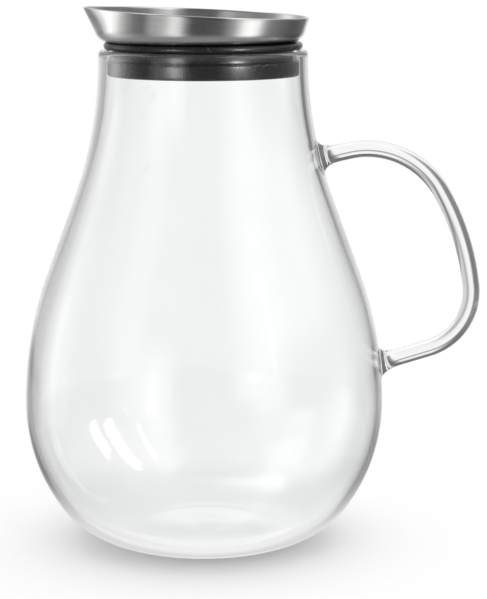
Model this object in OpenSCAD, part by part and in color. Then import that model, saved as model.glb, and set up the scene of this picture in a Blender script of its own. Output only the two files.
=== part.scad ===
// Blown glass pitcher with a welded rod handle and a push-in lid.
// The lid is a spouted steel dish on a black stopper, with a weighted flap that opens
// by itself when the jug is tipped. Origin: the middle of the base. Spout towards -X.

/* [Jug] */
// Height of the glass, from the table to the top of the rim
jug_h = 200; // [185:1:230]
// Outside diameter of the rim
rim_d = 83.6; // [80:0.2:92]
// Thickness of the glass at the rim and in the neck
neck_wall = 3.2; // [2.6:0.1:3.6]
// Outside diameter of the belly at its widest
belly_d = 145.6; // [138:0.2:156]
// Height of the widest part of the belly
belly_z = 57; // [52:1:64]
// Thickness of the glass in the belly
belly_wall = 2; // [1.4:0.1:3]
// Length of the straight flank between the hollow neck and the full belly
flank_l = 34; // [10:1:60]
// How much of the flank's bending the hollow neck takes: 0.5 bends neck and belly alike
neck_share = 0.52; // [0.35:0.01:0.7]
// Diameter of the flat base
base_d = 58; // [44:1:72]
// How round the jug turns in to its base: 1 turns on one arc, less leaves a tighter corner
foot_round = 0.86; // [0.6:0.01:0.98]
// Thickness of the glass in the base
base_wall = 3; // [2:0.1:5]

/* [Handle] */
// Diameter of the glass rod
rod_d = 6.8; // [5:0.1:9]
// Room for the fingers, between the belly and the grip
finger_gap = 32.5; // [28:0.5:42]
// Height of the middle of the arch above the middle of the corner below the grip
arch_rise = 24; // [18:0.5:32]
// Bend radius of the arch at the top of the handle
arch_r = 34.6; // [30:0.2:38]
// Distance from the neck out to the middle of the arch
arch_out = 19.6; // [16:0.2:26]
// Bend radius of the grip
grip_r = 100; // [85:1:130]
// Bend radius of the corner below the grip
corner_r = 24; // [18:0.5:28]
// Height of the middle of that corner above the widest part of the belly
corner_rise = 44.8; // [42:0.2:52]
// Slope of the rod where it leaves the upper weld
upper_slope = 12.5; // [6:0.5:18]
// Slope of the rod where it meets the lower weld
lower_slope = 17; // [10:0.5:24]
// Radius of the glass fillet round each weld
weld_r = 4.5; // [3:0.1:6]

/* [Stopper] */
// Gap between a flexible or curved face and the glass that it sits against
seat_gap = 0.3; // [0.2:0.05:0.6]
// How far the sleeve reaches down into the neck
plug_depth = 10; // [8:0.5:14]
// Height of the groove between the rim of the jug and the wide part of the sleeve
groove_h = 3.7; // [2.5:0.1:5]
// Depth of that groove
groove_depth = 2.2; // [1:0.1:3]
// Height of the flange that rests on the rim of the jug
flange_h = 3.2; // [2.6:0.1:5]
// How far the edge of the flange stays inside the edge of the rim
flange_inset = 2.1; // [1:0.1:3]
// Radius of the rounded edges of the sleeve
sleeve_edge_r = 1.2; // [0.6:0.1:1.6]
// Radial thickness of the flexible sleeve
sleeve_wall = 5; // [4:0.1:6]
// Radial gap between two pieces of which one turns in the other
turning_gap = 0.06; // [0.03:0.01:0.1]
// How far the lips of the core reach over and under the sleeve
lip_reach = 2; // [1.2:0.1:2.6]
// Thickness of those lips
lip_h = 1.4; // [1:0.1:1.6]
// Wall of the core
core_wall = 4.6; // [3.6:0.1:6]

/* [Pouring dish] */
// Thickness of the steel sheet
sheet = 0.8; // [0.5:0.05:1.2]
// How far the flat floor of the dish ends inside the edge of the flange
floor_inset = 3.1; // [2:0.1:5]
// How far the rim of the dish stands out from its floor
dish_flare = 6; // [4.5:0.1:9]
// How far the rim of the dish sits forward of the middle of the jug
dish_forward = 0.2; // [0:0.1:3]
// How far the tip of the spout is drawn out from the round rim
spout_draw = 5; // [3:0.1:10]
// Angle each side of the spout over which the rim draws out to the tip
spout_spread = 32; // [26:1:45]
// Roundness of the tip, as an angle seen from the middle of the dish
tip_round = 7; // [3:1:12]
// Height of the back of the rim above the bottom of the dish
dish_back_h = 9.5; // [7:0.1:14]
// Slope of the rim, up towards the spout
rim_slope = 2.6; // [0:0.1:6]
// Bend radius between the floor and the wall of the dish
dish_bend_r = 5.5; // [4:0.1:6]
// How far the floor sits forward of the middle of the jug
floor_forward = 1.2; // [0:0.1:3]

/* [Flap] */
// Thickness of the steel flap
flap_sheet = 0.8; // [0.5:0.05:1.2]
// Gap between the flap and the throat around it
flap_gap = 0.5; // [0.4:0.05:0.8]
// Wall of the ring that lines the throat
ring_wall = 2; // [1.6:0.1:2.4]
// Width of the ring's flange on the floor of the dish
ring_flange_w = 2; // [1.5:0.1:3]
// Thickness of that flange
ring_flange_h = 1; // [0.8:0.1:1.6]
// Diameter of the flap's axle
axle_d = 2; // [1.6:0.1:2.4]
// Depth of the axle below the underside of the flap
axle_drop = 3.2; // [3:0.1:4]
// How far the flap opens
flap_open = 65; // [50:1:70]
// Diameter of the plate under the flap
plate_d = 34; // [28:1:38]
// Thickness of the plate
plate_h = 1; // [0.8:0.1:1.4]
// Size of the steel weight along the axle
weight_l = 28; // [20:1:29]
// Size of the weight across the axle
weight_w = 11; // [8:0.5:13]
// Height of the weight
weight_h = 5.6; // [4:0.1:6]
// How far the weight hangs in front of the axle, which keeps the flap shut
weight_forward = 0.9; // [0.5:0.1:1.5]

/* [Hidden] */
$fn = 96;

arc_step = 3;
shell_steps = 96;
bend_steps = 4;
weld_steps = 6;
rod_step = 7;
rod_sides = 24;
eps = 0.01;

glass_colour = [0.86, 0.93, 0.93, 0.35];
black = [0.07, 0.07, 0.08];
charcoal = [0.13, 0.13, 0.14];
steel = [0.74, 0.74, 0.76];
polished = [0.82, 0.82, 0.84];

rim_r = rim_d / 2;
belly_r = belly_d / 2;
rod_r = rod_d / 2;
bore_r = rim_r - neck_wall;

// The stopper, from the glass inwards
sleeve_r = bore_r - seat_gap;
groove_r = sleeve_r - groove_depth;
sleeve_bore_r = sleeve_r - sleeve_wall;
core_r = sleeve_bore_r - turning_gap;
core_bore_r = core_r - core_wall;
lip_r = core_r + lip_reach;
lip_seat_r = lip_r + turning_gap;
flange_r = rim_r - flange_inset;
flange_bottom_z = jug_h + seat_gap;
plug_z = jug_h - plug_depth;
dish_z = jug_h + flange_h;

// The dish, from its floor outwards
floor_r = flange_r - floor_inset;
dish_r = floor_r + dish_flare;

// The throat, from the core inwards
slip_gap = 0.1;
ring_r = core_bore_r - slip_gap;
throat_r = ring_r - ring_wall;
flap_r = throat_r - flap_gap;
snap_reach = 0.6;
snap_h = 1.2;
floor_top_z = dish_z + sheet;
ring_top_z = floor_top_z + ring_flange_h;
ring_bottom_z = plug_z + lip_h;

// The flap lies with its face just below the top of the ring, on a ledge under its front half
flap_recess = 0.2;
flap_z = ring_top_z - flap_recess - flap_sheet;
axle_z = flap_z - axle_drop;
axle_r = axle_d / 2;
axle_end_y = ring_r - ring_wall / 4;
barrel_wall = 1.4;
barrel_r = axle_r + barrel_wall;
stop_gap = 0.05;
ledge_w = 2.2;
ledge_h = 1;
ledge_turn = 65;
horn_w = 2.6;
horn_h = 4;
horn_l = 4.5;
horn_tip = 1;
horn_gap = 0.15;
stud_r = 1;
stud_h = 0.6;
stud_ring_r = plate_d / 2 - 3 * stud_r;
web_w = 1.6;
tray_h = 0.9;
weight_top = -barrel_r - slip_gap;
weight_bottom = weight_top - weight_h;

function arc(centre, r, from, to) =
    let (n = max(2, ceil(abs(to - from) / arc_step)))
    [for (i = [0 : n]) centre + r * [cos(from + (to - from) * i / n), sin(from + (to - from) * i / n)]];

// Outline of one face of the jug wall, from just below the rim down to the middle of the base,
// as points (radius, height). Two arcs with a straight flank between them join the upright neck to
// the upright belly, and turned_in() takes the belly in to the base.
function jug_outline(neck, belly, floor_z) =
    let (top = jug_h - neck_wall / 2,
         wide = belly - neck,
         high = top - belly_z,
         bends = (wide * wide + high * high - flank_l * flank_l) / 2 / wide,
         flank = 2 * atan2(high - flank_l, 2 * bends - wide),
         neck_r = bends * neck_share,
         upper_r = bends - neck_r)
    concat(arc([neck + neck_r, top], neck_r, 180, 180 + flank),
           arc([belly - upper_r, belly_z], upper_r, flank, 0),
           turned_in(belly, base_d / 2, belly_z, floor_z),
           [[0, floor_z]]);

// Two arcs that turn from upright at the belly to level at the base, without their first point.
// The tighter one lies at the end of the shorter way, across or down.
function turned_in(belly, base, from_z, to_z) =
    let (across = belly - base,
         down = from_z - to_z,
         short = min(across, down),
         long = max(across, down),
         tight_r = short * foot_round,
         turn = 2 * atan2(short - tight_r, long - tight_r),
         wide_r = tight_r + (long - tight_r) / sin(turn),
         belly_r = across < down ? wide_r : tight_r,
         base_r = across < down ? tight_r : wide_r,
         mid = across < down ? turn : 90 - turn)
    concat(behead(arc([belly - belly_r, from_z], belly_r, 0, -mid)),
           behead(arc([base, to_z + base_r], base_r, -mid, -90)));
function behead(points) = [for (i = [1 : len(points) - 1]) points[i]];

outer_line = jug_outline(rim_r, belly_r, 0);
inner_line = jug_outline(bore_r, belly_r - belly_wall, base_wall);

// Radius of the outside of the jug at height z, read along its outline
function outer_r(z) = [for (i = [0 : len(outer_line) - 2])
    let (a = outer_line[i], b = outer_line[i + 1])
    if (a[1] >= z && b[1] < z) b[0] + (a[0] - b[0]) * (z - b[1]) / (a[1] - b[1])][0];

// Where a straight line of slope rise/run through point p meets the outside of the jug
function meet(p, slope, x, tries = 8) =
    tries == 0 ? [x, p[1] + (x - p[0]) * slope]
               : meet(p, slope, outer_r(p[1] + (x - p[0]) * slope), tries - 1);

// Middles of the three bends of the handle, as points (x, z)
grip_x = belly_r + finger_gap + rod_r;
corner_c = [grip_x - corner_r, belly_z + corner_rise];
arch_z = corner_c[1] + arch_rise;
arch_c = [outer_r(arch_z + arch_r) + arch_out, arch_z];
bend_gap = norm(arch_c - corner_c);
bend_dir = atan2(arch_c[1] - corner_c[1], arch_c[0] - corner_c[0]);
to_arch = grip_r - arch_r;
to_corner = grip_r - corner_r;
grip_turn = acos((to_corner * to_corner + bend_gap * bend_gap - to_arch * to_arch) / (2 * to_corner * bend_gap));
grip_c = corner_c + to_corner * [cos(bend_dir + grip_turn), sin(bend_dir + grip_turn)];
arch_end = atan2(arch_c[1] - grip_c[1], arch_c[0] - grip_c[0]);
corner_end = atan2(corner_c[1] - grip_c[1], corner_c[0] - grip_c[0]);
upper_start = 90 + upper_slope;
lower_start = -90 + lower_slope;
upper_bend = arch_c + arch_r * [cos(upper_start), sin(upper_start)];
lower_bend = corner_c + corner_r * [cos(lower_start), sin(lower_start)];
upper_weld = meet(upper_bend, tan(upper_slope), upper_bend[0]);
lower_weld = meet(lower_bend, tan(lower_slope), lower_bend[0]);

// Everything inside the outer face of the jug, to trim what is welded on
module jug_outside()
    rotate_extrude() polygon(concat([[0, jug_h], [rim_r - neck_wall / 2, jug_h]], outer_line));

// Blown glass jug with a rounded, fire-polished rim
module glass_body()
    color(glass_colour) rotate_extrude() polygon(concat(
        arc([rim_r - neck_wall / 2, jug_h - neck_wall / 2], neck_wall / 2, 180, 0),
        behead(outer_line),
        [for (i = [len(inner_line) - 1 : -1 : 1]) inner_line[i]]));

// Direction square to the outside of the jug at height z, as an angle up from level
function face_tilt(z) = atan(outer_r(z - 1) / 2 - outer_r(z + 1) / 2);

// Rings of the fillet at a weld, from inside the glass out to the plain rod: [centre, heading, radius].
// away is the slope of the rod; the first rings lie square to the body and the last square to the rod.
// A fillet that would reach the rim is as wide as there is room for.
function weld_rings(weld, away) =
    let (tilt = face_tilt(weld[1]),
         fillet = min(weld_r, jug_h - neck_wall - rod_r - weld[1]),
         bed = pow(rod_r + fillet, 2) / weld[0] / 2,
         foot = weld - (bed + rod_r) * [cos(tilt), sin(tilt)])
    concat([[foot, tilt, rod_r + fillet]],
        [for (i = [0 : weld_steps]) let (t = 90 * i / weld_steps)
            [weld + (fillet * (1 - cos(t)) - bed * cos(t)) * [cos(away), sin(away)],
             tilt + (away - tilt) * (1 - cos(t)),
             rod_r + fillet * (1 - sin(t))]]);

// Rings of a bend about a centre, turning clockwise between two angles, without its first ring
function bend_rings(centre, r, from, to) =
    let (n = ceil((from - to) / rod_step))
    [for (i = [1 : n]) let (t = from + (to - from) * i / n)
        [centre + r * [cos(t), sin(t)], t - 90, rod_r]];

function turned_back(rings) = [for (i = [len(rings) - 1 : -1 : 0])
    [rings[i][0], rings[i][1] + 180, rings[i][2]]];

handle_rings = concat(
    weld_rings(upper_weld, upper_slope),
    [[upper_bend, upper_slope, rod_r]],
    bend_rings(arch_c, arch_r, upper_start, arch_end),
    bend_rings(grip_c, grip_r, arch_end, corner_end),
    bend_rings(corner_c, corner_r, corner_end, lower_start),
    turned_back(weld_rings(lower_weld, lower_slope)));

// A rod swept through rings that lie in the XZ plane
module swept_rod(rings) {
    points = [for (ring = rings) for (k = [0 : rod_sides - 1])
        let (t = 360 * k / rod_sides, across = ring[2] * cos(t))
        [ring[0][0] - across * sin(ring[1]), ring[2] * sin(t), ring[0][1] + across * cos(ring[1])]];
    function at(i, k) = i * rod_sides + k % rod_sides;
    last = len(rings) - 1;
    sides = [for (i = [0 : last - 1]) for (k = [0 : rod_sides - 1]) for (half = [0, 1])
        half == 0 ? [at(i, k), at(i, k + 1), at(i + 1, k + 1)]
                  : [at(i, k), at(i + 1, k + 1), at(i + 1, k)]];
    polyhedron(points, concat(sides,
        [[for (k = [rod_sides - 1 : -1 : 0]) at(0, k)]],
        [[for (k = [0 : rod_sides - 1]) at(last, k)]]));
}

// Solid glass rod, bent hot and welded to the neck and to the belly
module glass_handle()
    color(glass_colour) difference() {
        swept_rod(handle_rings);
        jug_outside();
    }

// Flexible black sleeve: a bead-edged flange on the rim, a groove, and the wide part in the neck
module seal_sleeve() {
    bead_r = (dish_z - stop_gap - flange_bottom_z) / 2;
    edge = sleeve_r - sleeve_edge_r;
    color(black) rotate_extrude() polygon(concat(
        [[lip_seat_r, dish_z - stop_gap]],
        arc([flange_r - bead_r, flange_bottom_z + bead_r], bead_r, 90, -90),
        [[groove_r, flange_bottom_z], [groove_r, jug_h - groove_h]],
        arc([edge, jug_h - groove_h - sleeve_edge_r], sleeve_edge_r, 90, 0),
        arc([edge, plug_z + sleeve_edge_r], sleeve_edge_r, 0, -90),
        [[lip_seat_r, plug_z],
         [lip_seat_r, plug_z + lip_h + stop_gap],
         [sleeve_bore_r, plug_z + lip_h + stop_gap],
         [sleeve_bore_r, dish_z - lip_h - stop_gap],
         [lip_seat_r, dish_z - lip_h - stop_gap]]));
}

// Rigid core of the stopper, with a lip above and below the sleeve and a step for the ring's snap
module stopper_core()
    color(charcoal) rotate_extrude() polygon([
        [core_bore_r, dish_z], [lip_r, dish_z], [lip_r, dish_z - lip_h], [core_r, dish_z - lip_h],
        [core_r, plug_z + lip_h], [lip_r, plug_z + lip_h], [lip_r, plug_z + stop_gap],
        [core_bore_r + snap_reach, plug_z + stop_gap],
        [core_bore_r + snap_reach, ring_bottom_z + snap_h],
        [core_bore_r, ring_bottom_z + snap_h + snap_reach]]);

// One of the two horns that the flap leans back on when it is fully open. Its front face lies
// horn_gap behind the open flap's upper face, which is lift from the axle.
module horn(side) {
    lift = axle_drop + flap_sheet + horn_gap;
    foot = ring_top_z - axle_z;
    function face(z) = lift * sin(flap_open) - (z - lift * cos(flap_open)) / tan(flap_open);
    reach = horn_w + ring_wall;
    intersection() {
        translate([0, side * (throat_r - horn_w + reach / 2) + reach / 2, axle_z]) rotate([90, 0, 0])
            linear_extrude(reach)
            polygon([[face(foot), foot], [face(foot + horn_h), foot + horn_h],
                     [face(foot + horn_h) + horn_tip, foot + horn_h], [face(foot) + horn_l, foot]]);
        translate([0, 0, axle_z]) cylinder(r = ring_r, h = foot + horn_h + horn_w);
    }
}

// Liner of the throat: it clamps the dish to the core and carries the flap's axle
module hinge_ring()
    color(charcoal) {
        difference() {
            union() {
                rotate_extrude() polygon([
                    [throat_r, ring_top_z], [ring_r + ring_flange_w, ring_top_z],
                    [ring_r + ring_flange_w, floor_top_z], [ring_r, floor_top_z],
                    [ring_r, ring_bottom_z + snap_h], [ring_r + snap_reach, ring_bottom_z + snap_h],
                    [ring_r, ring_bottom_z], [throat_r, ring_bottom_z]]);
                rotate([0, 0, 180 - ledge_turn]) rotate_extrude(angle = 2 * ledge_turn)
                    translate([throat_r - ledge_w, flap_z - stop_gap - ledge_h])
                    square([ledge_w + ring_wall / 2, ledge_h]);
            }
            translate([0, lip_r, axle_z]) rotate([90, 0, 0])
                cylinder(r = axle_r + turning_gap, h = 2 * lip_r, $fn = 48);
        }
        horn(1);
        horn(-1);
    }

// Radius of the dish's rim at angle a, where the spout draws it out to a rounded tip
function rim_at(a) =
    let (off = a - 180,
         soft = sqrt(off * off + tip_round * tip_round) - tip_round)
    dish_r + spout_draw * pow(max(0, 1 - soft / spout_spread), 2);

// One radial section of the dish at angle a: outside from the floor to the rim, then inside back down
function dish_section(a) =
    let (foot = [floor_r * cos(a) - floor_forward, floor_r * sin(a)],
         lip = [rim_at(a) * cos(a) - dish_forward, rim_at(a) * sin(a)],
         out = norm(lip - foot),
         way = (lip - foot) / out,
         lip_z = dish_back_h + tan(rim_slope) * (dish_r - dish_forward - lip[0]),
         up = lip_z - dish_bend_r,
         lean = atan2(up, out) - acos(dish_bend_r / norm([out, up])),
         turns = [for (i = [0 : bend_steps]) -90 + (lean + 90) * i / bend_steps],
         outside = [for (t = turns) [0, dish_bend_r] + dish_bend_r * [cos(t), sin(t)]],
         inside = [for (i = [bend_steps : -1 : 0])
             [0, dish_bend_r] + (dish_bend_r - sheet) * [cos(turns[i]), sin(turns[i])]],
         edge = [out, lip_z] - sheet * [cos(lean), sin(lean)])
    [for (p = concat(outside, [[out, lip_z], edge], inside))
        [foot[0] + way[0] * p[0], foot[1] + way[1] * p[0], dish_z + p[1]]];

// The pressed sheet as a closed shell: sections round the dish, joined by strips of triangles
module dish_shell() {
    rings = 2 * bend_steps + 4;
    points = [for (s = [0 : shell_steps - 1]) each dish_section(360 * s / shell_steps)];
    function at(s, j) = (s % shell_steps) * rings + j;
    bottom = [for (s = [0 : shell_steps - 1]) at(s, 0)];
    floor_face = [for (s = [shell_steps - 1 : -1 : 0]) at(s, rings - 1)];
    walls = [for (s = [0 : shell_steps - 1]) for (j = [0 : rings - 2]) for (half = [0, 1])
        half == 0 ? [at(s, j), at(s, j + 1), at(s + 1, j + 1)]
                  : [at(s, j), at(s + 1, j + 1), at(s + 1, j)]];
    polyhedron(points, concat([bottom], [floor_face], walls));
}

// Pressed steel dish with the pouring lip
module pour_dish()
    color(steel) difference() {
        dish_shell();
        translate([0, 0, dish_z - sheet]) cylinder(r = core_bore_r, h = 3 * sheet);
    }

// Places of the three studs
module stud_places()
    for (turn = [0 : 120 : 240]) rotate([0, 0, turn]) translate([stud_ring_r, 0, 0]) children();

// Steel flap, with three welded studs underneath
module flap_disc()
    color(polished) {
        translate([0, 0, flap_z]) cylinder(r = flap_r, h = flap_sheet);
        stud_places() translate([0, 0, flap_z - stud_h]) cylinder(r = stud_r, h = stud_h + eps, $fn = 32);
    }

// Carrier under the flap: plate, barrel on the axle, and two webs with a tray for the weight
module flap_carrier()
    color(black) difference() {
        union() {
            translate([0, 0, flap_z - plate_h]) cylinder(r = plate_d / 2, h = plate_h);
            translate([0, 0, axle_z]) {
                translate([0, weight_l / 2 + web_w, 0]) rotate([90, 0, 0])
                    cylinder(r = barrel_r, h = weight_l + 2 * web_w, $fn = 48);
                for (side = [-1, 1])
                    translate([-weight_forward - weight_w / 2, side * (weight_l + web_w) / 2 - web_w / 2,
                               weight_bottom - tray_h])
                        cube([weight_w, web_w, axle_drop - plate_h / 2 - weight_bottom + tray_h]);
                translate([-weight_forward - weight_w / 2, -weight_l / 2 - web_w / 2, weight_bottom - tray_h])
                    cube([weight_w, weight_l + web_w, tray_h]);
            }
        }
        translate([0, weight_l, axle_z]) rotate([90, 0, 0])
            cylinder(r = axle_r, h = 2 * weight_l, $fn = 48);
        stud_places() translate([0, 0, flap_z - stud_h - slip_gap])
            cylinder(r = stud_r + slip_gap, h = stud_h + slip_gap + eps, $fn = 32);
    }

// Steel bar that swings the flap open when the jug is tipped and shut when it stands
module flap_weight()
    color(steel) translate([-weight_forward - weight_w / 2, -weight_l / 2, axle_z + weight_bottom])
        cube([weight_w, weight_l, weight_h]);

// Pin through the barrel, turning in the two holes of the ring
module flap_axle()
    color(polished) translate([0, axle_end_y, axle_z]) rotate([90, 0, 0])
        cylinder(r = axle_r, h = 2 * axle_end_y, $fn = 48);

glass_body();
glass_handle();
seal_sleeve();
stopper_core();
hinge_ring();
pour_dish();
flap_disc();
flap_carrier();
flap_weight();
flap_axle();
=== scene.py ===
"""A blown glass jug with a spouted steel lid on a black stopper, on a white studio table.

The file follows the jug as it is put together: the glass with its handle, the silicone sleeve, the
plastic mouldings of the lid, the steel dish, the flap with what hangs under it, and last the studio.
Sizes are in metres and slopes in degrees, in the frame of the solids: the origin is the middle of the
base, with the spout towards -X.
"""

import math

import bpy
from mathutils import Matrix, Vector, noise


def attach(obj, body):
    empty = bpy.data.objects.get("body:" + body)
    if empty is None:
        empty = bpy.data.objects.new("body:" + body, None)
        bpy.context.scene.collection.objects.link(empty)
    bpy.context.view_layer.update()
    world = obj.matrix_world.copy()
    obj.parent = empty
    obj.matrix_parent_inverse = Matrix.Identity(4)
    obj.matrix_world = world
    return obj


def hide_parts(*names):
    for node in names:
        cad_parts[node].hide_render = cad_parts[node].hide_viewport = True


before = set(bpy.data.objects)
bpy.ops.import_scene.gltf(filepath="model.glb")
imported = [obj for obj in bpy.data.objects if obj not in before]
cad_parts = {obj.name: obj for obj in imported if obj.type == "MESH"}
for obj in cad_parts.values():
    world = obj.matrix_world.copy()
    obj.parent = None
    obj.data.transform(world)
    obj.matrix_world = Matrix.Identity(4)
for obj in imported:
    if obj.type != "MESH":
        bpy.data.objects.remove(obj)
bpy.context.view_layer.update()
scene = bpy.context.scene


# The jug is borosilicate glass, blown into a mould: a thick fire-polished rim, a neck that thins
# into the full belly, and a slightly pushed-up base. Blowing leaves low waves in its inner face, from
# a few rings below the rim down.

MM = 0.001
JUG_H = 200 * MM
RIM_R = 41.8 * MM
NECK_WALL = 3.2 * MM
BELLY_R = 72.8 * MM
BELLY_Z = 57 * MM
BELLY_WALL = 2 * MM
FLANK_L = 34 * MM
NECK_SHARE = 0.52
BASE_R = 29 * MM
FOOT_ROUND = 0.86
BASE_WALL = 3 * MM
BASE_PUSH = 0.3 * MM
BLOWN_WAVES = 0.12 * MM
WAVES_ROUND, WAVES_UP = 2.2, 28
WAVE_FADE_RINGS = 20


def arc(centre, r, start, end, step=0.7 * MM):
    """Points on an arc about centre, between two angles in degrees."""
    length = abs(math.radians(end - start)) * r
    count = max(4, math.ceil(length / step))
    turns = [math.radians(start + (end - start) * i / count) for i in range(count + 1)]
    return [(centre[0] + r * math.cos(t), centre[1] + r * math.sin(t)) for t in turns]


def jug_wall(neck, belly, floor_z):
    """One face of the wall, from just below the rim to the edge of the base: arcs and a flank."""
    top = JUG_H - NECK_WALL / 2
    wide = belly - neck
    high = top - BELLY_Z
    bends = (wide ** 2 + high ** 2 - FLANK_L ** 2) / 2 / wide
    flank = math.degrees(2 * math.atan2(high - FLANK_L, 2 * bends - wide))
    neck_r = bends * NECK_SHARE
    upper_r = bends - neck_r
    step = belly - BASE_R
    foot_r = step * FOOT_ROUND
    dip = 2 * math.atan2(step - foot_r, BELLY_Z - floor_z - foot_r)
    under_r = foot_r + (BELLY_Z - floor_z - foot_r) / math.sin(dip)
    dip = math.degrees(dip)
    return (arc((neck + neck_r, top), neck_r, 180, 180 + flank)
            + arc((belly - upper_r, BELLY_Z), upper_r, flank, 0)
            + arc((belly - under_r, BELLY_Z), under_r, 0, -dip)[1:]
            + arc((BASE_R, floor_z + foot_r), foot_r, -dip, -90)[1:])


def even(points, spacing):
    """The same line with its points an even distance apart."""
    run = [0]
    for a, b in zip(points, points[1:]):
        run.append(run[-1] + math.dist(a, b))
    count = round(run[-1] / spacing)
    spread = []
    j = 0
    for i in range(count + 1):
        s = run[-1] * i / count
        while j < len(run) - 2 and run[j + 1] < s:
            j += 1
        t = (s - run[j]) / (run[j + 1] - run[j])
        spread.append(tuple(a + (b - a) * t for a, b in zip(points[j], points[j + 1])))
    return spread


COLUMNS = 240
RING_STEP = 1.6 * MM
RIM_STEP = 0.4 * MM
BASE_RINGS = 12
rim_c = (RIM_R - NECK_WALL / 2, JUG_H - NECK_WALL / 2)
rim = arc(rim_c, NECK_WALL / 2, 180, 0, RIM_STEP)
outer = even(jug_wall(RIM_R, BELLY_R, 0), RING_STEP)
inner = even(jug_wall(RIM_R - NECK_WALL, BELLY_R - BELLY_WALL, BASE_WALL), RING_STEP)
base_shares = [i / BASE_RINGS for i in range(1, BASE_RINGS)]
under_line = [(BASE_R * (1 - t), BASE_PUSH * math.sin(math.pi * t / 2) ** 2) for t in base_shares]
floor_line = [(BASE_R * (1 - t), BASE_WALL) for t in base_shares]

verts, faces = [], []


def ring_of(r, z, wave=0):
    """Adds a ring of the jug's mesh and returns its vertices."""
    first = len(verts)
    for c in range(COLUMNS):
        turn = 2 * math.pi * c / COLUMNS
        at = Vector((math.cos(turn), math.sin(turn), 0))
        swell = wave * noise.noise(Vector((WAVES_ROUND * at.x, WAVES_ROUND * at.y, WAVES_UP * z)))
        verts.append(at * (r + swell) + Vector((0, 0, z)))
    return list(range(first, first + COLUMNS))


outer_rings = [ring_of(r, z) for r, z in outer]
under_rings = [ring_of(r, z) for r, z in under_line]
inner_rings = [ring_of(r, z, BLOWN_WAVES * min(1, i / WAVE_FADE_RINGS))
               for i, (r, z) in enumerate(inner)]
floor_rings = [ring_of(r, z) for r, z in floor_line]
rim_rings = [ring_of(r, z) for r, z in rim[1:-1]]
outside = [inner_rings[0]] + rim_rings + outer_rings + under_rings
inside = inner_rings + floor_rings


# The handle is a solid glass rod, bent hot on three arcs and fused on: the arch at the top, the long
# grip and the corner below it. Where it is welded on, the belly keeps a window in its mesh, which is
# filled with rings of skin to the round foot of the weld, and rings of fillet from there to the rod.

ROD_R = 3.4 * MM
FINGER_GAP = 32.5 * MM
ARCH_R = 34.6 * MM
ARCH_RISE = 24 * MM
ARCH_OUT = 19.6 * MM
GRIP_R = 100 * MM
CORNER_R = 24 * MM
CORNER_RISE = 44.8 * MM
UPPER_SLOPE, LOWER_SLOPE = 12.5, 17
BEND_STEP = 2.5
ROD_WAVES, ROD_WAVES_ALONG = 0.02, 60
WELD_R = 7.6 * MM
WELD_REACH = 8.5 * MM
FOOT_PULL, ROD_PULL = 0.95, 0.45
WINDOW_COLUMNS, WINDOW_ROWS = 9, 6
SKIN_RINGS, FILLET_RINGS = 6, 14


def outer_at(z):
    """Radius of the outside of the jug at height z."""
    for (r0, z0), (r1, z1) in zip(outer, outer[1:]):
        if z1 <= z <= z0:
            return r0 + (r1 - r0) * (z0 - z) / (z0 - z1)


def meet(point, slope, tries=12):
    """Where a straight line through point meets the outside of the jug, closer with each try."""
    x = point[0]
    for _ in range(tries):
        x = outer_at(point[1] + (x - point[0]) * slope)
    return x, point[1] + (x - point[0]) * slope


def on_circle(centre, r, degrees):
    """The point of a circle at an angle in degrees."""
    turn = math.radians(degrees)
    return centre[0] + r * math.cos(turn), centre[1] + r * math.sin(turn)


grip_x = BELLY_R + FINGER_GAP + ROD_R
corner_c = (grip_x - CORNER_R, BELLY_Z + CORNER_RISE)
arch_z = corner_c[1] + ARCH_RISE
arch_c = (outer_at(arch_z + ARCH_R) + ARCH_OUT, arch_z)
bend_gap = math.dist(arch_c, corner_c)
bend_dir = math.degrees(math.atan2(arch_c[1] - corner_c[1], arch_c[0] - corner_c[0]))
to_arch, to_corner = GRIP_R - ARCH_R, GRIP_R - CORNER_R
grip_turn = math.degrees(math.acos(
    (to_corner ** 2 + bend_gap ** 2 - to_arch ** 2) / (2 * to_corner * bend_gap)))
grip_c = on_circle(corner_c, to_corner, bend_dir + grip_turn)
arch_end = math.degrees(math.atan2(arch_c[1] - grip_c[1], arch_c[0] - grip_c[0]))
corner_end = math.degrees(math.atan2(corner_c[1] - grip_c[1], corner_c[0] - grip_c[0]))
upper_bend = on_circle(arch_c, ARCH_R, 90 + UPPER_SLOPE)
lower_bend = on_circle(corner_c, CORNER_R, LOWER_SLOPE - 90)


def window(bend_start, slope):
    """The weld of a rod that runs to the start of a bend: (row of its middle, its foot, its slope)."""
    foot = meet(bend_start, math.tan(math.radians(slope)))
    row = min(range(len(outer)), key=lambda i: abs(outer[i][1] - foot[1]))
    return row, foot, slope


def edge_steps():
    """The window's edge as steps of (columns, rows) from its middle, once round."""
    c, r = WINDOW_COLUMNS, WINDOW_ROWS
    return ([(c, i) for i in range(-r, r)] + [(-i, r) for i in range(-c, c)]
            + [(-c, -i) for i in range(-r, r)] + [(i, -r) for i in range(-c, c)])


def band(ring, after):
    """Adds the faces between two rings, once round."""
    for k in range(len(ring)):
        n = (k + 1) % len(ring)
        faces.append((ring[k], after[k], after[n], ring[n]))


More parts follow.
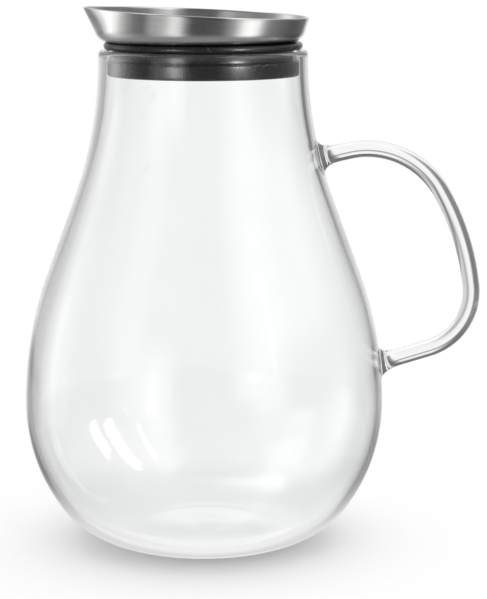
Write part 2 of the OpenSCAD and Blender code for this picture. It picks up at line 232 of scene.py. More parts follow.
def weld(row, foot, slope):
    """Fills a window. Returns the ring where the plain rod starts, and its vertices' angles."""
    steps = edge_steps()
    along = math.radians(slope)
    heading = Vector((math.cos(along), 0, math.sin(along)))
    rod_up = Vector((-math.sin(along), 0, math.cos(along)))
    rod_start = Vector((foot[0], 0, foot[1])) + heading * WELD_REACH
    row_step = math.dist(outer[row], outer[row + 1])
    past_row = (outer[row][1] - foot[1]) / (outer[row][1] - outer[row + 1][1])

    def on_glass(across, up):
        """The point of the jug's outside that lies that far across and up from the foot."""
        down = row + past_row - up / row_step
        i = int(down)
        r0, z0 = outer[i]
        r1, z1 = outer[i + 1]
        r = r0 + (r1 - r0) * (down - i)
        turn = across / foot[0]
        return Vector((r * math.cos(turn), r * math.sin(turn), z0 + (z1 - z0) * (down - i)))

    rings = [[outer_rings[row + r][c % COLUMNS] for c, r in steps]]
    window_edge = [(foot[0] * 2 * math.pi * c / COLUMNS, (past_row - r) * row_step) for c, r in steps]
    angles = [math.atan2(up, across) for across, up in window_edge]
    for m in range(1, SKIN_RINGS + 1):
        t = m / SKIN_RINGS
        rings.append([])
        for (across, up), angle in zip(window_edge, angles):
            rings[-1].append(len(verts))
            verts.append(on_glass(across + (WELD_R * math.cos(angle) - across) * t,
                                  up + (WELD_R * math.sin(angle) - up) * t))
    for m in range(1, FILLET_RINGS + 1):
        t = m / FILLET_RINGS
        rings.append([])
        for k, angle in enumerate(angles):
            foot_at = verts[rings[SKIN_RINGS][k]]
            halfway = on_glass(WELD_R * math.cos(angle) / 2, WELD_R * math.sin(angle) / 2)
            end = rod_start + ROD_R * (math.cos(angle) * Vector((0, 1, 0)) + math.sin(angle) * rod_up)
            inwards = foot_at + (halfway - foot_at) * FOOT_PULL
            back = end - heading * WELD_REACH * ROD_PULL
            rings[-1].append(len(verts))
            verts.append(foot_at * (1 - t) ** 3 + 3 * inwards * t * (1 - t) ** 2
                         + 3 * back * t * t * (1 - t) + end * t ** 3)
    for ring, after in zip(rings, rings[1:]):
        band(ring, after)
    return rings[-1], angles


upper = window(upper_bend, UPPER_SLOPE)
lower = window(lower_bend, LOWER_SLOPE)


def in_window(i, c):
    """Whether the face below outer ring i, next to column c, belongs to a weld."""
    c = (c + COLUMNS // 2) % COLUMNS - COLUMNS // 2
    return any(row - WINDOW_ROWS <= i < row + WINDOW_ROWS and -WINDOW_COLUMNS <= c < WINDOW_COLUMNS
               for row, _, _ in (upper, lower))


first_outer = 1 + len(rim_rings)
for i, (ring, after) in enumerate(zip(outside, outside[1:])):
    for c in range(COLUMNS):
        if not in_window(i - first_outer, c):
            n = (c + 1) % COLUMNS
            faces.append((ring[c], after[c], after[n], ring[n]))
for ring, after in zip(inside, inside[1:]):
    for c in range(COLUMNS):
        n = (c + 1) % COLUMNS
        faces.append((ring[c], ring[n], after[n], after[c]))
for last, z, way in ((outside[-1], BASE_PUSH, -1), (inside[-1], BASE_WALL, 1)):
    middle = len(verts)
    verts.append(Vector((0, 0, z)))
    for c in range(COLUMNS):
        side = (last[c], last[(c + 1) % COLUMNS])
        faces.append((*side[::way], middle))

upper_ring, upper_angles = weld(*upper)
lower_ring, lower_angles = weld(*lower)
steps = edge_steps()
upside_down = [steps.index((c, -r)) for c, r in steps]


def bend(centre, r, start, end):
    """Middles and headings of a rod that bends clockwise about a centre, between two angles."""
    count = max(2, round((start - end) / BEND_STEP))
    turns = [start + (end - start) * i / count for i in range(count + 1)]
    return [(on_circle(centre, r, t), t - 90) for t in turns]


rod = (bend(arch_c, ARCH_R, 90 + UPPER_SLOPE, arch_end)
       + bend(grip_c, GRIP_R, arch_end, corner_end)[1:]
       + bend(corner_c, CORNER_R, corner_end, LOWER_SLOPE - 90)[1:])
previous = upper_ring
for j, ((x, z), heading) in enumerate(rod):
    t = (j + 1) / (len(rod) + 1)
    square = math.radians(heading + 90)
    rod_up = Vector((math.cos(square), 0, math.sin(square)))
    thick = ROD_R * (1 + ROD_WAVES * noise.noise(Vector((x * ROD_WAVES_ALONG, z * ROD_WAVES_ALONG, 0))))
    ring = []
    for k, angle in enumerate(upper_angles):
        twist = (-lower_angles[upside_down[k]] - angle + math.pi) % (2 * math.pi) - math.pi
        turn = angle + t * twist
        ring.append(len(verts))
        verts.append(Vector((x, 0, z))
                     + thick * (math.cos(turn) * Vector((0, 1, 0)) + math.sin(turn) * rod_up))
    band(previous, ring)
    previous = ring
band(previous, [lower_ring[k] for k in upside_down])


def piece(name, verts, faces, material, body, slot, *nodes):
    """Makes a smooth-shaded piece that rides on a body and stands for its solids."""
    mesh = bpy.data.meshes.new(name)
    mesh.from_pydata([tuple(v) for v in verts], [], faces)
    mesh.validate()
    mesh.polygons.foreach_set("use_smooth", [True] * len(mesh.polygons))
    obj = bpy.data.objects.new(name, mesh)
    scene.collection.objects.link(obj)
    obj.data.materials.append(material)
    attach(obj, body)
    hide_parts(*nodes)
    return obj


class Wire:
    """A socket of a shader. Sums and products of wires add the Math nodes that they stand for."""

    def __init__(self, tree, socket=None):
        self.tree, self.socket = tree, socket

    def node(self, kind, settings=None, inputs=None, out=0):
        """Any node: its type, its settings, its sockets' values or links, and the output wanted."""
        made = self.tree.nodes.new("ShaderNode" + kind)
        for name, value in (settings or {}).items():
            if name == "stops":
                ramp = made.color_ramp
                while len(ramp.elements) < len(value):
                    ramp.elements.new(1)
                for element, (position, shade) in zip(ramp.elements, value):
                    element.position = position
                    element.color = (shade, shade, shade, 1)
            elif name == "interpolation":
                made.color_ramp.interpolation = value
            else:
                setattr(made, name, value)
        for name, value in (inputs or {}).items():
            if isinstance(value, Wire):
                self.tree.links.new(value.socket, made.inputs[name])
            else:
                made.inputs[name].default_value = value
        return Wire(self.tree, made.outputs[out])

    def also(self, out):
        """Another output of the same node."""
        return Wire(self.tree, self.socket.node.outputs[out])

    def math(self, operation, a, b=0.0):
        """A Math node on one or two values."""
        return self.node("Math", {"operation": operation}, {0: a, 1: b})

    def __add__(self, other):
        return self.math("ADD", self, other)

    def __radd__(self, other):
        return self.math("ADD", other, self)

    def __sub__(self, other):
        return self.math("SUBTRACT", self, other)

    def __rsub__(self, other):
        return self.math("SUBTRACT", other, self)

    def __mul__(self, other):
        return self.math("MULTIPLY", self, other)

    def __rmul__(self, other):
        return self.math("MULTIPLY", other, self)

    def __truediv__(self, other):
        return self.math("DIVIDE", self, other)

    def smooth(self, low, high):
        """0 below low, 1 above high, and a soft step between them."""
        return self.node("MapRange", {"interpolation_type": "SMOOTHSTEP"},
                         {"Value": self, "From Min": low, "From Max": high})

    def noise(self, scale, detail):
        """Noise from 0 to 1 at this place: how fine it is, and how many finer layers it has."""
        return self.node("TexNoise", {}, {"Vector": self, "Scale": scale, "Detail": detail}, "Fac")

    def mixed(self, a, b):
        """Colour a where this is 0 and colour b where it is 1."""
        return self.node("Mix", {"data_type": "RGBA"}, {"Factor": self, 6: a, 7: b}, 2)


def finish_of(name):
    """A new material without nodes, and the start of its wires."""
    material = bpy.data.materials.new(name)
    material.use_nodes = True
    material.node_tree.nodes.clear()
    return material, Wire(material.node_tree)


def cover(material, shader):
    """Puts a shader on a material's surface."""
    end = material.node_tree.nodes.new("ShaderNodeOutputMaterial")
    material.node_tree.links.new(shader.socket, end.inputs["Surface"])


def grey(value):
    """A colour without a hue."""
    return (value, value, value, 1)


# The glass is clear, with faint smears. Its foot throws a dark shadow and the rest lets light through.
# A ray that has been mirrored three times gets a painted glow in place of the light that such glass
# leads along its walls: much in the foot and little above it.

CLEAN_GLASS = (0.985, 0.993, 0.99, 1)
SMEARED_GLASS = (0.97, 0.98, 0.978, 1)
FOOT_SHADE_H = 18 * MM
FOOT_GLOW_LOW, FOOT_GLOW_HIGH = 8 * MM, 32 * MM
glass, w = finish_of("clear_blown_glass")
place = w.node("TexCoord", out="Object")
sway = place.noise(14.0, 1.0)
seeds = place.noise(160.0, 2.0)
skin = w.node("Bump", {}, {"Height": sway + seeds * 0.012, "Strength": 0.22, "Distance": 0.6 * MM})
smudge = place.noise(30.0, 4.0).smooth(0.55, 0.8)
clear = w.node("BsdfPrincipled", {}, {
    "Base Color": smudge.mixed(CLEAN_GLASS, SMEARED_GLASS),
    "Roughness": smudge * 0.02, "Transmission Weight": 1.0, "IOR": 1.47, "Normal": skin})
height = w.node("SeparateXYZ", {}, {0: place}, "Z")
lit_through = w.node("MixShader", {}, {
    0: height.smooth(0.0, FOOT_SHADE_H), 1: w.node("BsdfTransparent", {}, {"Color": grey(0.02)}),
    2: w.node("BsdfTransparent", {}, {"Color": grey(0.97)})})
# Painted glow: the glass itself glows here, bright in the foot and dim above it.
painted_wall_glow = w.node("MixShader", {}, {
    0: height.smooth(FOOT_GLOW_LOW, FOOT_GLOW_HIGH), 1: w.node("Emission", {}, {"Color": grey(0.85)}),
    2: w.node("Emission", {}, {"Color": grey(0.16)})})
shadow_ray = w.node("LightPath", out="Is Shadow Ray")
mirrored_often = shadow_ray.also("Glossy Depth").smooth(2.0, 3.0)
seen = w.node("MixShader", {}, {0: mirrored_often, 1: clear, 2: painted_wall_glow})
cover(glass, w.node("MixShader", {}, {0: shadow_ray, 1: seen, 2: lit_through}))

piece("jug_glass", verts, faces, glass, "jug", "glass", "glass_body", "glass_handle")


# The sleeve is one ring of glossy black silicone, moulded round the core: a bead-edged flange that
# rests on the rim, a groove, and the wide part that presses against the inside of the neck.

SEAT_GAP = 0.3 * MM
FLANGE_H = 3.2 * MM
FLANGE_INSET = 2.1 * MM
PLUG_DEPTH = 10 * MM
GROOVE_H = 3.7 * MM
GROOVE_DEPTH = 2.2 * MM
GROOVE_ROUND = 0.4 * MM
SLEEVE_EDGE_R = 1.2 * MM
SLEEVE_WALL = 5 * MM
LIP_REACH = 2 * MM
LIP_H = 1.4 * MM
HAIR_GAP = 0.05 * MM
SLEEVE_STEP = 0.25 * MM
SLEEVE_COLUMNS = 192
dish_z = JUG_H + FLANGE_H
plug_z = JUG_H - PLUG_DEPTH
groove_z = JUG_H - GROOVE_H
flange_z = JUG_H + SEAT_GAP
flange_r = RIM_R - FLANGE_INSET
sleeve_r = RIM_R - NECK_WALL - SEAT_GAP
sleeve_top = dish_z - HAIR_GAP
bead_r = (sleeve_top - flange_z) / 2
edge_x = sleeve_r - SLEEVE_EDGE_R
groove_x = sleeve_r - GROOVE_DEPTH + GROOVE_ROUND
lip_seat_r = sleeve_r - SLEEVE_WALL + LIP_REACH
sleeve_back = sleeve_r - SLEEVE_WALL + 2 * HAIR_GAP
lip_room = LIP_H + HAIR_GAP
sleeve_line = (
    [(lip_seat_r, sleeve_top)]
    + arc((flange_r - bead_r, flange_z + bead_r), bead_r, 90, -90, SLEEVE_STEP)
    + arc((groove_x, flange_z - GROOVE_ROUND), GROOVE_ROUND, 90, 180, SLEEVE_STEP)
    + arc((groove_x, groove_z + GROOVE_ROUND), GROOVE_ROUND, 180, 270, SLEEVE_STEP)
    + arc((edge_x, groove_z - SLEEVE_EDGE_R), SLEEVE_EDGE_R, 90, 0, SLEEVE_STEP)
    + arc((edge_x, plug_z + SLEEVE_EDGE_R), SLEEVE_EDGE_R, 0, -90, SLEEVE_STEP)
    + [(lip_seat_r, plug_z), (lip_seat_r, plug_z + lip_room), (sleeve_back, plug_z + lip_room),
       (sleeve_back, dish_z - lip_room), (lip_seat_r, dish_z - lip_room)])

verts, faces = [], []
for i, (r, z) in enumerate(sleeve_line):
    here = i * SLEEVE_COLUMNS
    after = (i + 1) % len(sleeve_line) * SLEEVE_COLUMNS
    for c in range(SLEEVE_COLUMNS):
        n = (c + 1) % SLEEVE_COLUMNS
        turn = 2 * math.pi * c / SLEEVE_COLUMNS
        verts.append((r * math.cos(turn), r * math.sin(turn), z))
        faces.append((here + c, after + c, after + n, here + n))

SILICONE_BLACK = (0.008, 0.008, 0.009, 1)
SILICONE_DUST = (0.03, 0.03, 0.032, 1)
silicone, w = finish_of("glossy_black_silicone")
place = w.node("TexCoord", out="Object")
cloud = place.noise(60.0, 4.0)
dust = place.noise(900.0, 2.0).smooth(0.62, 0.8)
skin = w.node("Bump", {}, {"Height": cloud + dust * 0.15, "Strength": 0.15, "Distance": 0.4 * MM})
cover(silicone, w.node("BsdfPrincipled", {}, {
    "Base Color": dust.mixed(SILICONE_BLACK, SILICONE_DUST),
    "Roughness": 0.2 + cloud * 0.14 + dust * 0.1, "IOR": 1.41, "Normal": skin}))
sleeve = piece("sleeve", verts, faces, silicone, "stopper", "silicone", "seal_sleeve")


# The core of the stopper, the ring that lines the throat and the carrier under the flap are moulded
# in black plastic with a fine spark-eroded grain. The core and the ring snap together, with the floor
# of the dish clamped between them. All three show as the solids that they are.

PLASTIC_BLACK = (0.018, 0.018, 0.02, 1)
PLASTIC_WORN = (0.03, 0.03, 0.032, 1)
plastic, w = finish_of("grained_black_plastic")
place = w.node("TexCoord", out="Object")
grain = place.noise(1400.0, 3.0)
patches = place.noise(45.0, 3.0)
skin = w.node("Bump", {}, {"Height": grain, "Strength": 0.35, "Distance": 0.1 * MM})
cover(plastic, w.node("BsdfPrincipled", {}, {
    "Base Color": patches.mixed(PLASTIC_BLACK, PLASTIC_WORN),
    "Roughness": 0.38 + patches * 0.12 + grain * 0.08, "Normal": skin}))


def clothe(name, material):
    """Gives its material to a solid that is shown as it is."""
    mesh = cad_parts[name].data
    mesh.materials.clear()
    mesh.materials.append(material)


for name in ("stopper_core", "hinge_ring", "flap_carrier"):
    clothe(name, plastic)


# The dish is pressed and spun from stainless sheet: a flat floor, a tight bend, and a wall that
# flares to the rim and draws out to the pouring tip. It is brushed round and round, and its cut
# edge is rolled smooth.

SHEET = 0.8 * MM
FLOOR_INSET = 3.1 * MM
DISH_FLARE = 6 * MM
DISH_FORWARD = 0.2 * MM
FLOOR_FORWARD = 1.2 * MM
SPOUT_DRAW = 5 * MM
SPOUT_SPREAD = 32
TIP_ROUND = 7
DISH_BACK_H = 9.5 * MM
RIM_SLOPE = 2.6
DISH_BEND_R = 5.5 * MM
CORE_WALL = 4.6 * MM
TURNING_GAP = 0.06 * MM
DISH_SECTIONS = 360
DISH_BEND_STEPS, WALL_STEPS, ROLL_STEPS = 14, 8, 8
FLOOR_SHARES = (0.25, 0.5, 0.75, 1)
floor_r = flange_r - FLOOR_INSET
dish_r = floor_r + DISH_FLARE
core_bore_r = sleeve_r - SLEEVE_WALL - TURNING_GAP - CORE_WALL


def rim_at(degrees):
    """Radius of the rim, which the spout draws out to a rounded tip."""
    soft = math.hypot(degrees - 180, TIP_ROUND) - TIP_ROUND
    return dish_r + SPOUT_DRAW * max(0, 1 - soft / SPOUT_SPREAD) ** 2


def between_ends(start, end, steps):
    """The points that split a straight line into steps, without its two ends."""
    return [tuple(a + (b - a) * i / steps for a, b in zip(start, end)) for i in range(1, steps)]


def dish_section(degrees):
    """The sheet cut open at one angle: outside from the floor to the rim, then back down inside."""
    turn = math.radians(degrees)
    rim_r = rim_at(degrees)
    foot = Vector((floor_r * math.cos(turn) - FLOOR_FORWARD, floor_r * math.sin(turn)))
    lip = Vector((rim_r * math.cos(turn) - DISH_FORWARD, rim_r * math.sin(turn)))
    out = (lip - foot).length
    way = (lip - foot) / out
    lip_z = DISH_BACK_H + math.tan(math.radians(RIM_SLOPE)) * (dish_r - DISH_FORWARD - lip.x)
    up = lip_z - DISH_BEND_R
    lean = math.degrees(math.atan2(up, out) - math.acos(DISH_BEND_R / math.hypot(out, up)))
    flare = (math.cos(math.radians(lean + 90)), math.sin(math.radians(lean + 90)))
    across = (-flare[1], flare[0])
    half = SHEET / 2
    bend_c = (0, DISH_BEND_R)
    bend_turns = [-90 + (lean + 90) * i / DISH_BEND_STEPS for i in range(DISH_BEND_STEPS + 1)]
    bend_out = [on_circle(bend_c, DISH_BEND_R, t) for t in bend_turns]
    bend_in = [on_circle(bend_c, DISH_BEND_R - SHEET, t) for t in reversed(bend_turns)]
    roll_c = (out - flare[0] * half + across[0] * half, lip_z - flare[1] * half + across[1] * half)
    roll = [(roll_c[0] + half * (math.sin(t) * flare[0] - math.cos(t) * across[0]),
             roll_c[1] + half * (math.sin(t) * flare[1] - math.cos(t) * across[1]))
            for t in (math.pi * i / ROLL_STEPS for i in range(ROLL_STEPS + 1))]
    wall = between_ends(bend_out[-1], roll[0], WALL_STEPS)
    wall_inside = between_ends(roll[-1], bend_in[0], WALL_STEPS)
    return foot, way, bend_out + wall + roll + wall_inside + bend_in


verts, faces = [], []
for s in range(DISH_SECTIONS):
    degrees = 360 * s / DISH_SECTIONS
    turn = math.radians(degrees)
    foot, way, section = dish_section(degrees)
    hole = Vector((core_bore_r * math.cos(turn), core_bore_r * math.sin(turn)))
    for out, up in section:
        spot = foot + way * out
        verts.append((spot.x, spot.y, dish_z + up))
    for t in FLOOR_SHARES:
        spot = foot.lerp(hole, t)
        verts.append((spot.x, spot.y, dish_z + SHEET))
    for t in reversed(FLOOR_SHARES):
        spot = foot.lerp(hole, t)
        verts.append((spot.x, spot.y, dish_z))
per = len(verts) // DISH_SECTIONS
for s in range(DISH_SECTIONS):
    a, b = s * per, (s + 1) % DISH_SECTIONS * per
    for j in range(per):
        n = (j + 1) % per
        faces.append((a + j, b + j, b + n, a + n))

STEEL_DARK = (0.52, 0.515, 0.51, 1)
STEEL_LIGHT = (0.68, 0.675, 0.67, 1)
steel, w = finish_of("brushed_stainless")
place = w.node("TexCoord", out="Object")
x = w.node("SeparateXYZ", {}, {0: place}, "X")
y = x.also("Y")
z = x.also("Z")
radius = w.math("SQRT", x * x + y * y)
angle = w.math("ARCTAN2", y, x)
lay = w.node("CombineXYZ", {}, {"X": radius * 2600.0, "Y": angle * 5.0, "Z": z * 2600.0})
fine_lines = w.node("TexNoise", {}, {"Vector": lay, "Scale": 1.0, "Detail": 4.0, "Roughness": 0.6}, "Fac")
broad = w.node("CombineXYZ", {}, {"X": radius * 500.0, "Y": angle * 2.0, "Z": z * 500.0})
bands = broad.noise(1.0, 2.0)
wear = place.noise(80.0, 4.0)
skin = w.node("Bump", {}, {"Height": fine_lines + bands * 0.6, "Strength": 0.3, "Distance": 0.06 * MM})
cover(steel, w.node("BsdfPrincipled", {}, {
    "Base Color": (fine_lines * 0.6 + bands * 0.4).mixed(STEEL_DARK, STEEL_LIGHT),
    "Metallic": 1.0, "Roughness": 0.15 + fine_lines * 0.06 + wear * 0.05, "Anisotropic": 0.8,
    "Anisotropic Rotation": 0.25, "Normal": skin}))
piece("dish", verts, faces, steel, "spout", "brushed_steel", "pour_dish")


# The flap is a stamped steel disc, polished to a near mirror. It sits on studs on its plastic carrier,
# with a sawn steel bar under it as a weight, and turns on a drawn steel pin. All three steel pieces
# show as the solids that they are.

POLISH_DARK = (0.6, 0.6, 0.595, 1)
POLISH_LIGHT = (0.72, 0.72, 0.715, 1)
polished, w = finish_of("polished_steel")
place = w.node("TexCoord", out="Object")
lay = w.node("VectorMath", {"operation": "MULTIPLY"}, {0: place, 1: (2200.0, 60.0, 400.0)})
lines = lay.noise(1.0, 3.0)
rub = place.noise(120.0, 3.0)
skin = w.node("Bump", {}, {"Height": lines, "Strength": 0.12, "Distance": 0.04 * MM})
cover(polished, w.node("BsdfPrincipled", {}, {
    "Base Color": lines.mixed(POLISH_DARK, POLISH_LIGHT), "Metallic": 1.0,
    "Roughness": 0.14 + rub * 0.12, "Normal": skin}))

SAWN_DARK = (0.3, 0.3, 0.3, 1)
SAWN_LIGHT = (0.5, 0.495, 0.49, 1)
sawn, w = finish_of("sawn_steel")
place = w.node("TexCoord", out="Object")
lay = w.node("VectorMath", {"operation": "MULTIPLY"}, {0: place, 1: (300.0, 2600.0, 300.0)})
lines = lay.noise(1.0, 3.0)
blotch = place.noise(150.0, 3.0)
skin = w.node("Bump", {}, {"Height": lines, "Strength": 0.4, "Distance": 0.08 * MM})
cover(sawn, w.node("BsdfPrincipled", {}, {
    "Base Color": blotch.mixed(SAWN_DARK, SAWN_LIGHT), "Metallic": 1.0,
    "Roughness": 0.3 + lines * 0.2, "Normal": skin}))
clothe("flap_disc", polished)
clothe("flap_axle", polished)
clothe("flap_weight", sawn)


# The studio is a matt white table in a white room. The room that the glass and the steel mirror has a
# dark camera side, tall soft windows at the left and the right, and a light ceiling. Seen straight,
# the table gets a painted glow that grows with the distance from the jug, up to pure white, which
# fades the jug's shadow away from it.

TABLE_HALF = 4
TABLE_DROP = 0.2 * MM
TABLE_GLOW_START, TABLE_GLOW_MIDDLE, TABLE_GLOW_END = 20 * MM, 100 * MM, 400 * MM

table = bpy.data.meshes.new("table")
corners = [(x * TABLE_HALF, y * TABLE_HALF, -TABLE_DROP) for x, y in ((-1, -1), (1, -1), (1, 1), (-1, 1))]
table.from_pydata(corners, [], [(0, 1, 2, 3)])
table_obj = bpy.data.objects.new("table", table)
scene.collection.objects.link(table_obj)
table_obj.visible_glossy = table_obj.visible_transmission = False
white, w = finish_of("white_table")
x = w.node("SeparateXYZ", {}, {0: w.node("TexCoord", out="Object")}, "X")
y = x.also("Y")
away = w.math("SQRT", x * x + y * y)
matt = w.node("BsdfDiffuse", {}, {"Color": grey(0.93)})
gloss = w.node("BsdfGlossy", {}, {"Color": grey(1.0), "Roughness": 0.06})
sheen = w.node("MixShader", {}, {0: 0.04, 1: matt, 2: gloss})
glow = w.node("Emission", {}, {"Color": grey(1.0), "Strength": 1.0})
# Painted glow on the table: little near the jug, where its shadow shows, and pure white far off.
painted_table_glow = (0.1 + away.smooth(TABLE_GLOW_START, TABLE_GLOW_MIDDLE) * 0.6
              + away.smooth(TABLE_GLOW_MIDDLE, TABLE_GLOW_END) * 0.3)
seen_straight = w.node("LightPath", out="Is Camera Ray")
cover(white, w.node("MixShader", {}, {0: seen_straight * painted_table_glow, 1: sheen, 2: glow}))
table.materials.append(white)

world = bpy.data.worlds.new("studio")
scene.world = world
world.use_nodes = True
world.node_tree.nodes.clear()
w = Wire(world.node_tree)
x = w.node("SeparateXYZ", {}, {0: w.node("TexCoord", out="Generated")}, "X")
y = x.also("Y")
z = x.also("Z")
turn = w.math("ARCTAN2", x, 0 - y) / (2 * math.pi) + 0.5
round_jug = turn * 360.0 - 180.0
rise = w.math("ARCSINE", z) * (180 / math.pi)


def drawn_round(*pairs):
    """A shade that changes round the jug: pairs of degrees, from the camera to the right, and shade."""
    stops = [((degrees + 180) / 360, shade) for degrees, shade in pairs]
    return w.node("ValToRGB", {"interpolation": "EASE", "stops": stops}, {0: turn}, "Color")


# What is mirrored, with one ramp for each height, from the lowest up.

below = drawn_round(
    (-180, 0.95), (-168, 0.6), (-155, 0.35), (-138, 0.5), (-124, 0.8), (-113, 1.0), (-104, 0.8),
    (-93, 0.6), (-84, 0.45), (-75, 0.33), (-66, 0.32), (-51, 0.6), (-40, 0.8), (-32, 1.15), (-24, 1.3),
    (-17, 0.6), (-10, 0.2), (0, 0.14), (20, 0.17), (36, 0.4), (42, 0.9), (48, 1.7), (56, 2.1), (66, 1.8),
    (73, 0.8), (80, 0.35), (90, 0.25), (110, 0.15), (122, 0.1), (150, 0.1), (168, 0.6), (180, 0.95))
just_below = drawn_round(
    (-180, 1.0), (-164, 0.9), (-158, 0.6), (-153, 0.35), (-135, 0.3), (-122, 1.2), (-113, 1.7),
    (-104, 1.2), (-92, 0.6), (-80, 0.35), (-66, 0.2), (-50, 0.4), (-38, 0.7), (-28, 1.4), (-21, 1.1),
    (-15, 0.3), (-10, 0.05), (20, 0.05), (45, 0.7), (66, 1.2), (80, 0.5), (95, 0.3), (125, 0.2),
    (150, 0.2), (157, 0.6), (164, 0.95), (180, 1.0))
level = drawn_round(
    (-180, 1.0), (-163, 0.95), (-157, 0.85), (-151, 0.6), (-140, 0.48), (-134, 0.48), (-124, 1.0),
    (-113, 1.9), (-104, 1.4), (-93, 0.8), (-84, 0.45), (-75, 0.24), (-65, 0.2), (-51, 0.7), (-40, 0.8),
    (-31, 1.4), (-23, 1.1), (-17, 0.3), (-12, 0.1), (18, 0.1), (28, 0.3), (38, 1.0), (48, 0.85),
    (55, 0.5), (62, 0.22), (75, 0.16), (100, 0.2), (128, 0.28), (148, 0.22), (155, 0.7), (162, 0.95),
    (180, 1.0))
above = drawn_round(
    (-180, 0.9), (-135, 0.8), (-113, 1.2), (-85, 0.4), (-30, 0.25), (10, 0.15), (50, 0.8), (75, 0.5),
    (110, 0.5), (150, 0.7), (180, 0.9))
high = drawn_round(
    (-180, 1.0), (-150, 1.5), (-122, 3.2), (-105, 2.8), (-95, 1.8), (-85, 1.2), (-75, 0.5),
    (-62, 0.25), (-50, 0.2), (-40, 0.5), (-34, 0.35), (-26, 0.06), (14, 0.05), (24, 0.3), (32, 0.8),
    (48, 1.0), (58, 0.8), (72, 0.55), (97, 0.55), (112, 0.9), (150, 1.0), (180, 1.0))
mirror = rise.smooth(-18, -12).mixed(below, just_below)
mirror = rise.smooth(-9, -5).mixed(mirror, level)
mirror = rise.smooth(5, 20).mixed(mirror, above)
mirror = rise.smooth(46, 56).mixed(mirror, high)
mirror = rise.smooth(78, 86).mixed(mirror, grey(1.2))

# What mirrors from outside has a grey table under it, and what is mirrored inside the glass has a
# light one.

camera_ray = w.node("LightPath", out="Is Camera Ray")
crossed = camera_ray.also("Transmission Depth")
through = crossed.smooth(0.0, 1.0)
deep = crossed.smooth(3.0, 4.0)
mirror = ((1 - through) * (1 - rise.smooth(-42, -26))).mixed(mirror, grey(0.35))
mirror = (through * (1 - rise.smooth(-12, -8)) * 0.6).mixed(mirror, grey(0.75))
back_table = (1 - rise.smooth(-36, -28)) * w.math("ABSOLUTE", round_jug).smooth(105, 130)
mirror = (back_table * through).mixed(mirror, grey(0.98))


def between(value, low, high, soft):
    """1 between two values, with soft edges."""
    return value.smooth(low - soft, low + soft) * (1 - value.smooth(high - soft, high + soft))


def pane(left, right, bottom, top, soft, soft_up):
    """1 inside a pane of the room, given in degrees round and degrees up, with soft edges."""
    return between(round_jug, left, right, soft) * between(rise, bottom, top, soft_up)


# The lamps of the room: a low one at the left that the inner faces mirror, a broad one at the right
# that is mirrored from outside, and small panes that only the far wall mirrors, as bright streaks.

low_lamp = pane(-36, -30, -6, -2, 4, 2) * 2
broad_lamp = pane(30, 95, 10, 68, 10, 10) * 1.1
streaks = (pane(73, 80, 16, 42, 1, 1) + pane(73, 80, 44, 52, 1, 1)
           + pane(88, 93, 13, 32, 1, 1) + pane(52, 54, 26, 50, 1, 2)) * 7
lamps = through * low_lamp + (1 - through) * broad_lamp + deep * streaks

# What shows straight through the walls of the jug, and what shows through the rod of the handle.

behind = drawn_round(
    (-180, 1.0), (-175, 0.98), (-170, 0.85), (-164, 0.75), (-128, 0.75), (-80, 0.85), (80, 0.85),
    (128, 0.75), (155, 0.8), (166, 0.98), (180, 1.0))
behind = (between(rise, -23, -17, 1.5) * 0.12).mixed(behind, grey(0.0))
round_rod = drawn_round(
    (-180, 1.0), (-177, 0.9), (-173, 0.35), (-168, 0.17), (-145, 0.18), (-135, 0.3), (-120, 0.5),
    (-90, 0.8), (90, 0.85), (120, 0.75), (140, 0.66), (152, 0.6), (158, 0.4), (163, 0.65), (170, 0.95),
    (180, 1.0))
over = between(rise, -1, 5, 1.5) * 0.7 + rise.smooth(17, 21) - rise.smooth(42, 50) * 0.3
round_rod = over.mixed(round_rod, grey(0.15))
round_rod = rise.smooth(-36, -26).mixed(grey(0.97), round_rod)
mirrored = camera_ray.also("Glossy Depth").smooth(0.0, 1.0)
bounced = camera_ray.also("Diffuse Depth").smooth(0.0, 1.0)
both_walls = crossed.smooth(2.0, 3.0)
seen_through = bounced.mixed(both_walls.mixed(round_rod, behind), grey(0.6))
unmirrored = camera_ray.also("Is Transmission Ray").mixed(grey(0.76), seen_through)
shown = camera_ray.mixed(mirrored.mixed(unmirrored, mirror), grey(1.0))
room = w.node("Background", {}, {"Color": shown, "Strength": 1.0})
lit = w.node("Background", {}, {"Color": grey(1.0), "Strength": lamps * mirrored})
world_end = world.node_tree.nodes.new("ShaderNodeOutputWorld")
world.node_tree.links.new(w.node("AddShader", {}, {0: room, 1: lit}).socket, world_end.inputs["Surface"])


# Three soft lamps light the jug and its table and are seen nowhere themselves. Two small ones light
# the sleeve alone, which mirrors them through the glass of the neck.

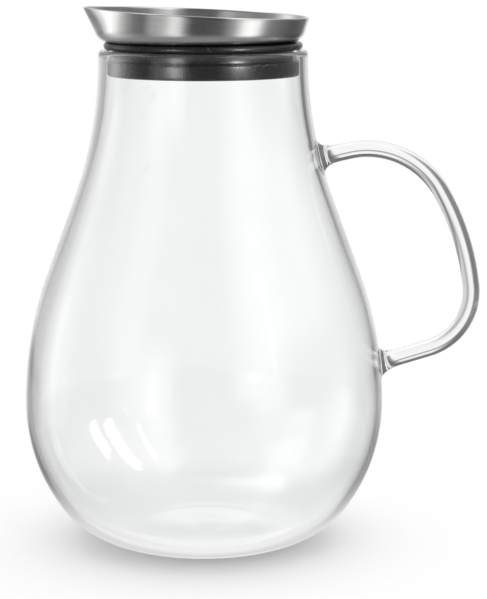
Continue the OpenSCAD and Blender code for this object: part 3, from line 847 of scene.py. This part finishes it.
def softbox(name, azimuth, elevation, distance, width, height, shine):
    """A soft lamp as the lid sees it: degrees from the camera's side to the right, and up."""
    round_lid, up = math.radians(azimuth), math.radians(elevation)
    lid = Vector((0, 0, JUG_H))
    way = Vector((math.sin(round_lid) * math.cos(up), -math.cos(round_lid) * math.cos(up), math.sin(up)))
    lamp = bpy.data.lights.new(name, "AREA")
    lamp.shape = "RECTANGLE"
    lamp.size = width
    lamp.size_y = height
    lamp.energy = shine * math.pi * width * height
    obj = bpy.data.objects.new(name, lamp)
    scene.collection.objects.link(obj)
    obj.location = lid + way * distance
    obj.rotation_euler = way.to_track_quat("Z", "Y").to_euler()
    obj.visible_glossy = obj.visible_transmission = obj.visible_camera = False
    return obj


def gleam(name, azimuth, elevation, distance, width, height, shine):
    """A small lamp that lights the sleeve alone and is mirrored by it."""
    obj = softbox(name, azimuth, elevation, distance, width, height, shine)
    obj.visible_glossy = True
    lit_alone = bpy.data.collections.new(name)
    lit_alone.objects.link(sleeve)
    obj.light_linking.receiver_collection = lit_alone


gleam("sleeve_strip", -33, -3, 1.1, 0.05, 0.3, 90.0)
gleam("sleeve_window", 43, 9, 1.1, 0.1, 0.08, 380.0)
softbox("left_strip", -39, 12, 1.1, 0.24, 0.34, 6.0)
softbox("right_window", 55, 25, 1.2, 0.3, 0.4, 4.0)
softbox("top_lamp", 150, 80, 1.2, 0.9, 0.9, 2.7)


# The camera stands a little to the right of the jug's middle and looks down at it from above the lid.
# Its focal length is given in pixels of a picture that is 599 pixels high.

FOCAL_PIXELS, PICTURE_PIXELS = 2095.7, 599
CAMERA_PLACE = (16.05 * MM, -840 * MM, 246.1 * MM)
LOOKS_DOWN = 9.942
camera = bpy.data.cameras.new("camera")
camera.sensor_width = 36
camera.lens = camera.sensor_width * FOCAL_PIXELS / PICTURE_PIXELS
camera_obj = bpy.data.objects.new("camera", camera)
scene.collection.objects.link(camera_obj)
camera_obj.location = CAMERA_PLACE
camera_obj.rotation_euler = (math.radians(90 - LOOKS_DOWN), 0, 0)
scene.camera = camera_obj
scene.view_settings.view_transform = "Standard"
